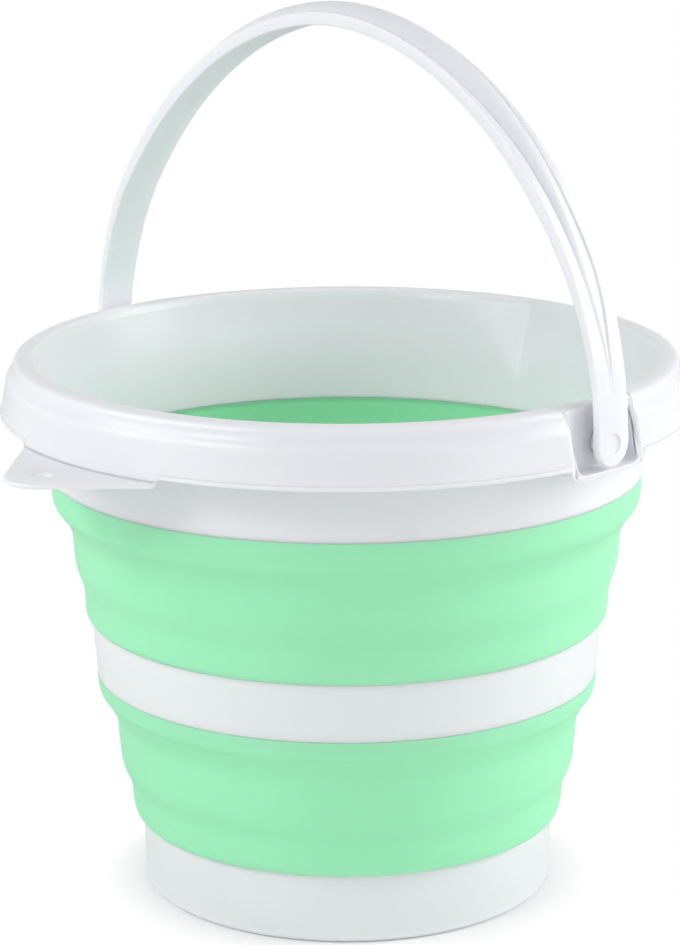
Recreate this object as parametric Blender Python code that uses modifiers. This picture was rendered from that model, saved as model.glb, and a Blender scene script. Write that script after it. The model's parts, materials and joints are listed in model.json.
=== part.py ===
"""Folding bucket: hard rings joined by two rubber bands, with a bail handle, a spout and a hanging tab.

Lengths are in metres. The floor is the plane Z = 0, the bucket's own axis is Z, and the handle turns
about X. Radii are outside radii unless a name says otherwise. The rings nest when the bands fold.
"""

import math

import bmesh
import bpy
from mathutils import Matrix, Vector

# Every turned piece has the same sides, so that nested walls stay parallel.
SIDES = 48
ARC_STEPS = 4

# Gaps and cutting allowances
SEAT_GAP = 0.0003
SLIDE_GAP = 0.0003
OVERRUN = 0.0080
MERGE_DISTANCE = 0.00001

# Base cup
BASE_RADIUS = 0.0996
BASE_HEIGHT = 0.0338
BASE_WALL = 0.0022
FLOOR_THICKNESS = 0.0026
FOOT_ROUND = 0.0034
FLOOR_ROUND = 0.0030

# Middle ring
RING_HEIGHT = 0.0284
RING_FLARE = 0.0021
RING_WALL = 0.0022
RING_TONGUE_DROP = 0.0042
RING_TONGUE_INSET = 0.0016
RING_TONGUE_WALL = 0.0010

# Fold bands. A step is the room between two rings, which a band fills when it is folded.
LOWER_BAND_HEIGHT = 0.0719
LOWER_STEP = 0.0212
LOWER_SHOULDER_HEIGHT = 0.0098
UPPER_BAND_HEIGHT = 0.0710
UPPER_STEP = 0.0184
UPPER_SHOULDER_HEIGHT = 0.0156
BAND_WALL = 0.0020
BAND_TOP_RISE = 0.0034
LAP_WALL = 0.0009
HEEL_WALL = 0.0020
HEEL_LIP = 0.0012
TONGUE_RISE = 0.0082
LOW_EDGE_HEIGHT = 0.0032
LOW_EDGE_DEPTH = 0.0014

# From a shoulder's top to its cut: share of the height, then share of the way in to the cut
SHOULDER_SHARES = ((0.0, 0.0), (0.40, 0.06), (0.68, 0.20), (0.88, 0.58), (1.0, 1.0))
# Down a band's wall: share of the height, then share of the way in to its lowest, upright part
WALL_SHARES = ((0.0, 0.0), (0.07, 0.20), (0.14, 0.37), (0.23, 0.49), (0.45, 0.585), (0.57, 0.645),
               (0.66, 0.78), (0.75, 0.90), (0.88, 0.97), (1.0, 1.0))
WALL_INSIDE_SHARES = (0.0, 0.14, 0.23, 0.57, 0.75)

# Rim moulding
RIM_HEIGHT = 0.0564
COLLAR_WALL = 0.0022
COLLAR_TONGUE_DROP = 0.0034
MOUTH_FLARE = 0.0089
ROLL_WIDTH = 0.0126
ROLL_WALL = 0.0024
ROLL_ROUND_WIDTH = 0.0046
ROLL_ROUND_HEIGHT = 0.0070
ROLL_SIDE_HEIGHT = 0.0060
LIP_ROUND = 0.0020
SKIRT_DEPTH = 0.0270
SKIRT_FLARE = 0.0038
SKIRT_WALL = 0.0022
INSERT_INSET = 0.0004
# Up the collar's inside: share of the rim's height, then share of the mouth's flare
MOUTH_SHARES = ((0.0, 0.0), (0.46, 0.25), (0.64, 0.46), (0.80, 0.70), (0.90, 0.86))
SKIRT_KINK_SHARE = 0.52
SKIRT_KINK_FLARE_SHARE = 0.55

# Handle pockets in the rim
POCKET_WIDTH = 0.0426
POCKET_DEPTH = 0.0090
POCKET_FLOOR_DEPTH = 0.0300
POCKET_FLOOR = 0.0025
POCKET_SIDE = 0.0037
POCKET_PLATE = 0.0020
POCKET_ROUND = 0.0050
POCKET_CORNER = 0.0068

# Pouring spout, a V-shaped groove in the mouth
SPOUT_AZIMUTH = math.radians(96.0)
SPOUT_WIDTH = 0.0650
SPOUT_REACH = 0.0086
SPOUT_DEPTH = 0.0385
SPOUT_TOP_DEPTH = 0.0020
SPOUT_WALL = 0.0022

# Hanging tab
TAB_AZIMUTH = math.radians(-93.0)
TAB_WIDTH = 0.0934
TAB_REACH = 0.0366
TAB_TIP_RADIUS = 0.0170
TAB_THICKNESS = 0.0024
TAB_DROP = 0.0017
TAB_ROOT = 0.0015
TAB_ROOT_RISE = 0.0010
TAB_HOLE_RADIUS = 0.0045

# Bail handle
PIVOT_DEPTH = 0.0180
HANDLE_STAND_OUT = 0.0007
HANDLE_HEIGHT = 0.1827
HANDLE_WIDTH = 0.0224
HANDLE_LEG_WIDTH = 0.0200
HANDLE_SIDE = 0.0062
HANDLE_CROWN = 0.0040
HANDLE_CHANNEL = 0.0012
HANDLE_GROOVE_WIDTH = 0.0005
HANDLE_GROOVE_DEPTH = 0.0006
HANDLE_EDGE_ROUND = 0.0008
HANDLE_STATIONS = 42
HANDLE_ARCH_POWER = 1.94
HANDLE_LEG_SHARE = 0.42
# Along a leg and over the arch: share of the height, share of the side's thickness, crown as a share
# of its full height (below nothing it is a channel, as a share of the channel's depth), and half
# the crown's width as a share of half the handle's width
HANDLE_SHARES = ((0.00, 0.62, 0.0, 0.10), (0.10, 0.54, 0.0, 0.10), (0.16, 0.56, -1.0, 0.11),
                 (0.32, 0.66, -1.0, 0.17), (HANDLE_LEG_SHARE, 0.76, 0.0, 0.22), (0.58, 0.92, 0.45, 0.36),
                 (0.71, 0.98, 0.70, 0.50), (0.82, 1.0, 0.88, 0.64), (0.94, 1.0, 1.0, 0.80),
                 (1.00, 1.0, 1.0, 0.84))
# Across the crown: share of its half width, then share of its height
CROWN_SHARES = ((0.0, 1.0), (0.55, 0.84), (0.92, 0.42))

# Ears and studs that carry the handle
EAR_SIDES = 20
EAR_RADIUS = 0.0104
EAR_THICKNESS = 0.0052
EAR_PROUD = 0.0002
EAR_EDGE = 0.0007
DIMPLE_RADIUS = 0.0044
DIMPLE_DEPTH = 0.0008
BOSS_RADIUS = 0.0055
STUD_RADIUS = 0.0030
STUD_END = 0.0020
STUD_CHAMFER = 0.0006
STUD_GAP = 0.0003

# Finishes: linear colour and roughness
WHITE_PLASTIC = ((0.84, 0.86, 0.88, 1.0), 0.32)
MINT_RUBBER = ((0.36, 0.86, 0.52, 1.0), 0.48)

# Heights of the stages, from the floor up
BASE_TOP = BASE_HEIGHT
RING_BOTTOM = BASE_TOP + LOWER_BAND_HEIGHT
RING_TOP = RING_BOTTOM + RING_HEIGHT
COLLAR_BOTTOM = RING_TOP + UPPER_BAND_HEIGHT
CREST = COLLAR_BOTTOM + RIM_HEIGHT
SKIRT_BOTTOM = CREST - SKIRT_DEPTH
PIVOT_HEIGHT = CREST - PIVOT_DEPTH
POCKET_FLOOR_TOP = CREST - POCKET_FLOOR_DEPTH

# Radii of the stages, from the base out
RING_BOTTOM_RADIUS = BASE_RADIUS + LOWER_STEP
RING_TOP_RADIUS = RING_BOTTOM_RADIUS + RING_FLARE
RING_TONGUE_RADIUS = RING_TOP_RADIUS - RING_TONGUE_INSET
COLLAR_RADIUS = RING_TOP_RADIUS + UPPER_STEP
MOUTH_RADIUS = COLLAR_RADIUS - COLLAR_WALL + MOUTH_FLARE
ROLL_RADIUS = MOUTH_RADIUS + ROLL_WIDTH
SKIRT_RADIUS = ROLL_RADIUS + SKIRT_FLARE
POCKET_WALL = SKIRT_RADIUS - POCKET_DEPTH
HANDLE_HALF_SPAN = SKIRT_RADIUS + HANDLE_STAND_OUT


def make_collection(name):
    collection = bpy.data.collections.new(name)
    bpy.context.scene.collection.children.link(collection)
    return collection


def make_material(name, finish):
    """A plain material with one of the finishes above."""
    colour, roughness = finish
    material = bpy.data.materials.new(name)
    material.use_nodes = True
    shader = material.node_tree.nodes["Principled BSDF"]
    shader.inputs["Base Color"].default_value = colour
    shader.inputs["Roughness"].default_value = roughness
    shader.inputs["Metallic"].default_value = 0.0
    return material


def add_object(name, mesh, finish=None):
    """Puts a mesh in the scene, as a finished piece or, without a finish, as a tool for cutting."""
    thing = bpy.data.objects.new(name, mesh)
    if finish is None:
        TOOLS.objects.link(thing)
        thing.hide_render = True
        thing.display_type = "WIRE"
    else:
        PIECES.objects.link(thing)
        mesh.materials.append(make_material(name + "_finish", finish))
    return thing


def turned(name, outline, finish=None, closed=True, sides=SIDES):
    """A solid of revolution about Z. The outline is (radius, height), and its outer side runs down."""
    mesh = bpy.data.meshes.new(name)
    count = len(outline)
    edges = [(i, (i + 1) % count) for i in range(count if closed else count - 1)]
    mesh.from_pydata([(radius, 0.0, height) for radius, height in outline], edges, [])
    thing = add_object(name, mesh, finish)
    screw = thing.modifiers.new("turn", "SCREW")
    screw.axis = "Z"
    screw.steps = sides
    screw.render_steps = sides
    screw.use_merge_vertices = True
    screw.merge_threshold = MERGE_DISTANCE
    return thing


def extruded(name, outline, thickness, place):
    """A flat outline in its own XY plane, thickened evenly to both sides, set by the matrix place."""
    curve = bpy.data.curves.new(name, "CURVE")
    curve.dimensions = "2D"
    curve.fill_mode = "BOTH"
    curve.extrude = thickness / 2
    spline = curve.splines.new("POLY")
    spline.points.add(len(outline) - 1)
    for point, (x, y) in zip(spline.points, outline):
        point.co = (x, y, 0.0, 1.0)
    spline.use_cyclic_u = True
    drawing = bpy.data.objects.new(name + "_outline", curve)
    TOOLS.objects.link(drawing)
    depsgraph = bpy.context.evaluated_depsgraph_get()
    mesh = bpy.data.meshes.new_from_object(drawing.evaluated_get(depsgraph))
    bpy.data.objects.remove(drawing)
    shape = bmesh.new()
    shape.from_mesh(mesh)
    bmesh.ops.remove_doubles(shape, verts=shape.verts, dist=MERGE_DISTANCE)
    bmesh.ops.recalc_face_normals(shape, faces=shape.faces)
    shape.to_mesh(mesh)
    shape.free()
    thing = add_object(name, mesh)
    thing.matrix_world = place
    return thing


def combine(target, other, operation):
    """Adds a live Boolean to target: UNION, DIFFERENCE or INTERSECT with other."""
    step = target.modifiers.new(other.name, "BOOLEAN")
    step.operation = operation
    step.solver = "EXACT"
    step.object = other


def arc(centre, radii, start, end, steps=ARC_STEPS):
    """Points on an ellipse's arc, from the angle start to the angle end, in radians."""
    angles = [start + (end - start) * i / steps for i in range(steps + 1)]
    return [(centre[0] + radii[0] * math.cos(a), centre[1] + radii[1] * math.sin(a)) for a in angles]


def read_shares(table, share):
    """The row of shares at a share of the way along a table, with straight lines between its rows."""
    for low, high in zip(table, table[1:]):
        if share <= high[0]:
            part = max(0.0, (share - low[0]) / (high[0] - low[0]))
            return tuple(a + (b - a) * part for a, b in zip(low[1:], high[1:]))
    return table[-1][1:]


def facing(azimuth, height=0.0):
    """A place on the bucket's axis whose local X points out along the azimuth."""
    return Matrix.Translation((0.0, 0.0, height)) @ Matrix.Rotation(azimuth, 4, "Z")


def base_cup():
    """The floor and lowest wall. Its top is a tongue that the lower band's heel covers."""
    inside = BASE_RADIUS - BASE_WALL
    top = BASE_TOP + TONGUE_RISE
    floor_corner = (inside - FLOOR_ROUND, FLOOR_THICKNESS + FLOOR_ROUND)
    foot_corner = (BASE_RADIUS - FOOT_ROUND, FOOT_ROUND)
    outline = [(0.0, FLOOR_THICKNESS)]
    outline += arc(floor_corner, (FLOOR_ROUND, FLOOR_ROUND), -math.pi / 2, 0.0, 3)
    outline += [(inside, top), (BASE_RADIUS, top)]
    outline += arc(foot_corner, (FOOT_ROUND, FOOT_ROUND), 0.0, -math.pi / 2, 3)
    outline += [(0.0, 0.0)]
    return turned("base_cup", outline, WHITE_PLASTIC, closed=False)


def middle_ring():
    """The hard ring between the bands, with a tongue at each end for the rubber to grip."""
    inside_low = RING_BOTTOM_RADIUS - RING_WALL
    inside_high = RING_TONGUE_RADIUS - RING_TONGUE_WALL
    low_tongue = RING_BOTTOM_RADIUS - LAP_WALL - SEAT_GAP
    low_end = RING_BOTTOM - RING_TONGUE_DROP
    high_end = RING_TOP + TONGUE_RISE
    outline = [
        (inside_high, high_end), (RING_TONGUE_RADIUS, high_end), (RING_TONGUE_RADIUS, RING_TOP),
        (RING_TOP_RADIUS, RING_TOP), (RING_BOTTOM_RADIUS, RING_BOTTOM), (low_tongue, RING_BOTTOM),
        (low_tongue, low_end), (inside_low, low_end), (inside_low, RING_BOTTOM), (inside_high, RING_TOP),
    ]
    return turned("middle_ring", outline, WHITE_PLASTIC)


def band_heel(name, bottom, carrier, carrier_wall):
    """The lowest part of a band, which grips the tongue of the ring below and laps over its end."""
    inside = carrier + SEAT_GAP
    outside = inside + HEEL_WALL
    tongue_end = bottom + TONGUE_RISE + SEAT_GAP
    outline = [
        (outside, tongue_end + HEEL_LIP), (outside, bottom + SEAT_GAP), (inside, bottom + SEAT_GAP),
        (inside, tongue_end), (carrier - carrier_wall, tongue_end),
        (carrier - carrier_wall, tongue_end + HEEL_LIP),
    ]
    return turned(name, outline, MINT_RUBBER)


def band_shoulder(name, top, carrier, carrier_wall, tongue_drop, height):
    """The highest part of a band, which laps the tongue of the ring above and curls in below it."""
    upper = top - SEAT_GAP
    lower = top - height
    cut = carrier - carrier_wall
    outline = [(carrier - (carrier - cut) * inward, upper - (upper - lower) * down)
               for down, inward in SHOULDER_SHARES]
    lap = carrier - LAP_WALL
    ledge = top - tongue_drop - SEAT_GAP
    outline += [(cut, ledge), (lap, ledge), (lap, upper)]
    return turned(name, outline, MINT_RUBBER)


def band_wall(name, bottom, heel_carrier, shoulder_cut, top):
    """The part of a band that travels as it folds: a curved wall that ends in an upright sleeve."""
    sleeve_inside = heel_carrier + SEAT_GAP + HEEL_WALL + SLIDE_GAP
    sleeve = sleeve_inside + BAND_WALL
    upper_radius = shoulder_cut - SLIDE_GAP
    upper = top - SLIDE_GAP
    foot = bottom + SEAT_GAP
    lower = foot + LOW_EDGE_HEIGHT
    heel_top = bottom + TONGUE_RISE + SEAT_GAP + HEEL_LIP

    def place(down):
        inward, = read_shares(WALL_SHARES, down)
        return upper_radius - (upper_radius - sleeve) * inward, upper - (upper - lower) * down

    outline = [(upper_radius, upper + BAND_TOP_RISE)]
    outline += [place(down) for down, _ in WALL_SHARES]
    edge_centre = (sleeve - LOW_EDGE_DEPTH, lower)
    outline += arc(edge_centre, (LOW_EDGE_DEPTH, LOW_EDGE_HEIGHT), 0.0, -math.pi / 2, 3)[1:]
    outline += [(sleeve_inside, foot), (sleeve_inside, heel_top)]
    for down in reversed(WALL_INSIDE_SHARES):
        radius, height = place(down)
        outline.append((max(sleeve_inside, radius - BAND_WALL), height))
    outline.append((upper_radius - BAND_WALL, upper + BAND_TOP_RISE))
    return turned(name, outline, MINT_RUBBER)


def fold_band(prefix, bottom, top, below, below_wall, above, above_wall, tongue_drop, shoulder):
    """One rubber band in the three parts between which it bends."""
    band_heel(prefix + "_heel", bottom, below, below_wall)
    band_shoulder(prefix + "_shoulder", top, above, above_wall, tongue_drop, shoulder)
    band_wall(prefix + "_wall", bottom, below, above - above_wall, top - shoulder)


def mouth_inside(share):
    """A point on the collar's inner face, a share of the rim's height above the collar's foot."""
    flare, = read_shares(MOUTH_SHARES + ((1.0, 1.0),), share)
    return COLLAR_RADIUS - COLLAR_WALL + MOUTH_FLARE * flare, COLLAR_BOTTOM + RIM_HEIGHT * share


def rim_outside(inset):
    """The outer face of the roll and skirt, from the crest down, moved inward by inset."""
    top = CREST - inset
    side = ROLL_RADIUS - inset
    round_centre = (side - ROLL_ROUND_WIDTH, top - ROLL_ROUND_HEIGHT)
    outline = [(MOUTH_RADIUS + LIP_ROUND, top)]
    outline += arc(round_centre, (ROLL_ROUND_WIDTH, ROLL_ROUND_HEIGHT), math.pi / 2, 0.0)
    low_side = CREST - ROLL_ROUND_HEIGHT - ROLL_SIDE_HEIGHT
    outline.append((side, low_side))
    kink = low_side - (low_side - SKIRT_BOTTOM) * SKIRT_KINK_SHARE
    outline.append((side + SKIRT_FLARE * SKIRT_KINK_FLARE_SHARE, kink))
    outline.append((SKIRT_RADIUS - inset, SKIRT_BOTTOM))
    return outline


def rim_shell():
    """The turned part of the rim moulding: collar, mouth, rolled edge and hanging skirt."""
    outside = rim_outside(0.0)
    under = rim_outside(ROLL_WALL)
    outline = list(outside)
    outline.append((SKIRT_RADIUS - SKIRT_WALL, SKIRT_BOTTOM))
    outline += list(reversed(under[1:-1]))
    for share, _ in reversed(MOUTH_SHARES):
        radius, height = mouth_inside(share)
        outline.append((radius + COLLAR_WALL, height))
    tongue = COLLAR_RADIUS - LAP_WALL - SEAT_GAP
    tongue_end = COLLAR_BOTTOM - COLLAR_TONGUE_DROP
    outline += [(tongue, COLLAR_BOTTOM), (tongue, tongue_end), (COLLAR_RADIUS - COLLAR_WALL, tongue_end)]
    outline += [mouth_inside(share) for share, _ in MOUTH_SHARES]
    outline.append((MOUTH_RADIUS, CREST - LIP_ROUND))
    return turned("rim", outline, WHITE_PLASTIC)


def insert_room():
    """The room behind the rim's outer face, which the pockets and the spout may fill."""
    outline = rim_outside(INSERT_INSET)
    outline.append((SKIRT_RADIUS - INSERT_INSET, COLLAR_BOTTOM))
    outline += [(radius + COLLAR_WALL / 2, height)
                for radius, height in (mouth_inside(share) for share, _ in MOUTH_SHARES)]
    return turned("insert_room", outline)


def pocket_foot(half_width, floor):
    """The lower, rounded end of a pocket's U. Local X is across, and Y is up."""
    left = (-half_width + POCKET_ROUND, floor + POCKET_ROUND)
    right = (half_width - POCKET_ROUND, floor + POCKET_ROUND)
    radii = (POCKET_ROUND, POCKET_ROUND)
    return arc(left, radii, math.pi, math.pi * 1.5) + arc(right, radii, math.pi * 1.5, math.pi * 2)


def box_outline():
    """A U for the box behind a pocket, open past the crest."""
    half = POCKET_WIDTH / 2 + POCKET_SIDE
    top = CREST + OVERRUN
    return [(half, top), (-half, top)] + pocket_foot(half, POCKET_FLOOR_TOP - POCKET_FLOOR)


def gap_outline():
    """A U for a pocket itself, whose upper corners round over into the rim's crest."""
    half = POCKET_WIDTH / 2
    wide = half + POCKET_CORNER
    top = CREST + OVERRUN
    turn = CREST - POCKET_CORNER
    radii = (POCKET_CORNER, POCKET_CORNER)
    return ([(wide, top), (-wide, top)] + arc((-wide, turn), radii, math.pi / 2, 0.0)
            + pocket_foot(half, POCKET_FLOOR_TOP) + arc((wide, turn), radii, math.pi, math.pi / 2))


def across(azimuth, near, far):
    """Stands an outline up across a radius, so that it fills the distances from near to far."""
    middle = Matrix.Translation(((near + far) / 2, 0.0, 0.0))
    upright = Matrix(((0.0, 0.0, 1.0, 0.0), (1.0, 0.0, 0.0, 0.0), (0.0, 1.0, 0.0, 0.0), (0.0, 0.0, 0.0, 1.0)))
    return facing(azimuth) @ middle @ upright


def add_pockets(rim, room):
    """A box behind the skirt for each ear of the handle, open outward, with a hole for its stud."""
    outside = SKIRT_RADIUS + OVERRUN
    plate = POCKET_WALL - POCKET_PLATE
    for side, azimuth in (("right", 0.0), ("left", math.pi)):
        box = extruded("pocket_box_" + side, box_outline(), outside - plate, across(azimuth, plate, outside))
        combine(box, room, "INTERSECT")
        combine(rim, box, "UNION")
    for side, azimuth in (("right", 0.0), ("left", math.pi)):
        gap = extruded("pocket_gap_" + side, gap_outline(), outside - POCKET_WALL,
                       across(azimuth, POCKET_WALL, outside))
        combine(rim, gap, "DIFFERENCE")
        reach = (plate - OVERRUN / 2, POCKET_WALL + OVERRUN / 2)
        mesh = bpy.data.meshes.new("stud_hole_" + side)
        shape = bmesh.new()
        radius = STUD_RADIUS + STUD_GAP
        bmesh.ops.create_cone(shape, cap_ends=True, segments=EAR_SIDES, radius1=radius, radius2=radius,
                              depth=reach[1] - reach[0])
        shape.to_mesh(mesh)
        shape.free()
        hole = add_object("stud_hole_" + side, mesh)
        hole.matrix_world = across(azimuth, *reach) @ Matrix.Translation((0.0, PIVOT_HEIGHT, 0.0))
        combine(rim, hole, "DIFFERENCE")


def spout_wedge(name, offset):
    """A long V-shaped wedge. Its edge is the spout's valley, moved outward by offset."""
    low_radius, low_height = mouth_inside(1.0 - SPOUT_DEPTH / RIM_HEIGHT)
    low = Vector((low_radius + offset, 0.0, low_height))
    high = Vector((MOUTH_RADIUS + SPOUT_REACH + offset, 0.0, CREST - SPOUT_TOP_DEPTH))
    corner_out = math.sqrt(MOUTH_RADIUS ** 2 - (SPOUT_WIDTH / 2) ** 2)
    run = (high - low).normalized()
    inward = Vector((-run.z, 0.0, run.x))
    rise = high.x - offset - corner_out
    spread = (SPOUT_WIDTH + OVERRUN) / SPOUT_WIDTH
    arm = (SPOUT_WIDTH / 2 * spread, rise * -inward.x * spread)
    outline = [(0.0, 0.0), arm, (arm[0], arm[1] + OVERRUN), (-arm[0], arm[1] + OVERRUN), (-arm[0], arm[1])]
    length = (high - low).length + 2 * OVERRUN
    middle = (low + high) / 2
    across_axis = Vector((0.0, 1.0, 0.0))
    frame = Matrix.Identity(4)
    for column, axis in enumerate((across_axis, inward, across_axis.cross(inward), middle)):
        frame.col[column] = (*axis, 1.0 if column == 3 else 0.0)
    return extruded(name, outline, length, facing(SPOUT_AZIMUTH) @ frame)


def add_spout(rim, room):
    """A beak pressed out of the mouth: the V's own wall, then the V itself cut out of it."""
    wall = spout_wedge("spout_wall", SPOUT_WALL)
    combine(wall, room, "INTERSECT")
    combine(rim, wall, "UNION")
    return spout_wedge("spout_valley", 0.0)


def add_tab(rim):
    """A flat rounded triangle on the skirt's lower edge, with a hole to hang the bucket by."""
    half = TAB_WIDTH / 2
    root_angle = math.asin(half / SKIRT_RADIUS)
    root_radius = SKIRT_RADIUS - SKIRT_WALL / 2
    tip = (SKIRT_RADIUS + TAB_REACH - TAB_TIP_RADIUS, 0.0)
    corner = (SKIRT_RADIUS * math.cos(root_angle), half)
    to_tip = (tip[0] - corner[0], tip[1] - corner[1])
    lean = math.asin(TAB_TIP_RADIUS / math.hypot(*to_tip))
    side_angle = math.atan2(-to_tip[1], to_tip[0]) - lean
    turn = math.pi / 2 - side_angle
    radii = (root_radius, root_radius)
    outline = [corner]
    outline += arc((0.0, 0.0), radii, root_angle, -root_angle, 2 * ARC_STEPS)
    outline.append((corner[0], -corner[1]))
    outline += arc(tip, (TAB_TIP_RADIUS, TAB_TIP_RADIUS), -turn, turn, 3 * ARC_STEPS)
    top = SKIRT_BOTTOM - TAB_DROP
    place = facing(TAB_AZIMUTH, top - TAB_THICKNESS / 2)
    combine(rim, extruded("tab_plate", outline, TAB_THICKNESS, place), "UNION")
    outer = SKIRT_RADIUS - INSERT_INSET
    inner = outer - TAB_ROOT
    reach = root_angle - TAB_ROOT / SKIRT_RADIUS
    root_outline = arc((0.0, 0.0), (outer, outer), -reach, reach, 2 * ARC_STEPS)
    root_outline += arc((0.0, 0.0), (inner, inner), reach, -reach, 2 * ARC_STEPS)
    root_low = top - TAB_THICKNESS / 2
    root_high = SKIRT_BOTTOM + TAB_ROOT_RISE
    root_place = facing(TAB_AZIMUTH, (root_low + root_high) / 2)
    combine(rim, extruded("tab_root", root_outline, root_high - root_low, root_place), "UNION")
    mesh = bpy.data.meshes.new("tab_hole")
    shape = bmesh.new()
    bmesh.ops.create_cone(shape, cap_ends=True, segments=EAR_SIDES, radius1=TAB_HOLE_RADIUS,
                          radius2=TAB_HOLE_RADIUS, depth=TAB_THICKNESS + OVERRUN)
    shape.to_mesh(mesh)
    shape.free()
    hole = add_object("tab_hole", mesh)
    hole.matrix_world = place @ Matrix.Translation((tip[0], 0.0, 0.0))
    combine(rim, hole, "DIFFERENCE")


def rim_moulding():
    """The rim in one piece, with its pockets, spout and tab."""
    rim = rim_shell()
    room = insert_room()
    valley = add_spout(rim, room)
    add_tab(rim)
    add_pockets(rim, room)
    combine(rim, valley, "DIFFERENCE")
    return rim


def arch_point(angle):
    """A point of the handle's outer line, across and up from the pivots, and the way out from it."""
    def at(a):
        power = 2 / HANDLE_ARCH_POWER
        return Vector((math.copysign(HANDLE_HALF_SPAN * abs(math.cos(a)) ** power, math.cos(a)),
                       HANDLE_HEIGHT * abs(math.sin(a)) ** power))
    nudge = math.pi / 2000
    along = at(min(math.pi, angle + nudge)) - at(max(0.0, angle - nudge))
    out = Vector((along.y, -along.x)).normalized()
    return at(angle), out


def handle_section(height_share):
    """Half of the handle's section: distances from its middle, and heights over its inner face."""
    side_share, crown_share, width_share = read_shares(HANDLE_SHARES, height_share)
    ease = min(1.0, height_share / HANDLE_LEG_SHARE)
    half = (HANDLE_LEG_WIDTH + (HANDLE_WIDTH - HANDLE_LEG_WIDTH) * ease) / 2
    side = HANDLE_SIDE * side_share
    crown = HANDLE_CROWN * crown_share if crown_share > 0.0 else HANDLE_CHANNEL * crown_share
    bulge = half * width_share
    groove = side + min(0.0, crown) - HANDLE_GROOVE_DEPTH * abs(crown_share)
    edge = HANDLE_EDGE_ROUND
    points = [(bulge * out, side + crown * (up if crown > 0.0 else 1.0)) for out, up in CROWN_SHARES]
    points += [(bulge, groove), (bulge + HANDLE_GROOVE_WIDTH, side), (half - edge, side), (half, side - edge),
               (half, edge), (half - edge, 0.0)]
    return points, side + max(0.0, crown)


def handle_band():
    """The handle's band, lofted through sections that change from flat legs to a crowned grip."""
    shape = bmesh.new()
    rings = []
    for station in range(HANDLE_STATIONS + 1):
        centre, out = arch_point(math.pi * station / HANDLE_STATIONS)
        points, thickness = handle_section(centre.y / HANDLE_HEIGHT)
        full = points + [(-width, height) for width, height in reversed(points[1:])]
        ring = []
        for width, height in full:
            spot = centre + out * (height - thickness)
            ring.append(shape.verts.new((spot.x, width, spot.y)))
        rings.append(ring)
    count = len(rings[0])
    for first, second in zip(rings, rings[1:]):
        for i in range(count):
            j = (i + 1) % count
            shape.faces.new((first[i], first[j], second[j], second[i]))
    shape.faces.new(rings[0])
    shape.faces.new(rings[-1])
    bmesh.ops.recalc_face_normals(shape, faces=shape.faces)
    mesh = bpy.data.meshes.new("handle")
    shape.to_mesh(mesh)
    shape.free()
    mesh.shade_smooth()
    mesh.set_sharp_from_angle(angle=math.radians(35.0))
    band = add_object("handle", mesh, WHITE_PLASTIC)
    band.location = (0.0, 0.0, PIVOT_HEIGHT)
    return band


def ear_outline():
    """Half an ear with its dimple, boss and stud. Heights run from the ear's outer face inward."""
    back = -EAR_THICKNESS
    boss_end = POCKET_WALL + SEAT_GAP - (HANDLE_HALF_SPAN + EAR_PROUD)
    stud_end = boss_end - SEAT_GAP - POCKET_PLATE - STUD_END
    return [
        (0.0, -DIMPLE_DEPTH), (DIMPLE_RADIUS - DIMPLE_DEPTH, -DIMPLE_DEPTH), (DIMPLE_RADIUS, 0.0),
        (EAR_RADIUS - EAR_EDGE, 0.0), (EAR_RADIUS, -EAR_EDGE), (EAR_RADIUS, back), (BOSS_RADIUS, back),
        (BOSS_RADIUS, boss_end), (STUD_RADIUS, boss_end), (STUD_RADIUS, stud_end + STUD_CHAMFER),
        (STUD_RADIUS - STUD_CHAMFER, stud_end), (0.0, stud_end),
    ]


def bail_handle():
    """The handle's band with an ear on each end. Its origin is on the line that it turns about."""
    band = handle_band()
    for side, azimuth in (("right", 0.0), ("left", math.pi)):
        ear = turned("ear_" + side, ear_outline(), closed=False, sides=EAR_SIDES)
        ear.parent = band
        outward = Matrix.Translation((HANDLE_HALF_SPAN + EAR_PROUD, 0.0, 0.0))
        ear.matrix_local = facing(azimuth) @ outward @ Matrix.Rotation(math.pi / 2, 4, "Y")
        combine(band, ear, "UNION")
    return band


for old in list(bpy.data.objects):
    bpy.data.objects.remove(old)
PIECES = make_collection("folding_bucket")
TOOLS = make_collection("cutters")

base_cup()
fold_band("lower_band", BASE_TOP, RING_BOTTOM, BASE_RADIUS, BASE_WALL, RING_BOTTOM_RADIUS, RING_WALL,
          RING_TONGUE_DROP, LOWER_SHOULDER_HEIGHT)
middle_ring()
fold_band("upper_band", RING_TOP, COLLAR_BOTTOM, RING_TONGUE_RADIUS, RING_TONGUE_WALL, COLLAR_RADIUS,
          COLLAR_WALL, COLLAR_TONGUE_DROP, UPPER_SHOULDER_HEIGHT)
rim_moulding()
bail_handle()
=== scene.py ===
"""Looks of the folding bucket: fine surfaces, finishes, studio and camera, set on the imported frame.

Lengths are in metres. The floor is Z = 0, the bucket's axis is Z, and the handle turns about X.
A line of a turned piece is a list of (radius, height).
"""

import json
import math

import bmesh
import bpy
from mathutils import Matrix, Vector


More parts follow.
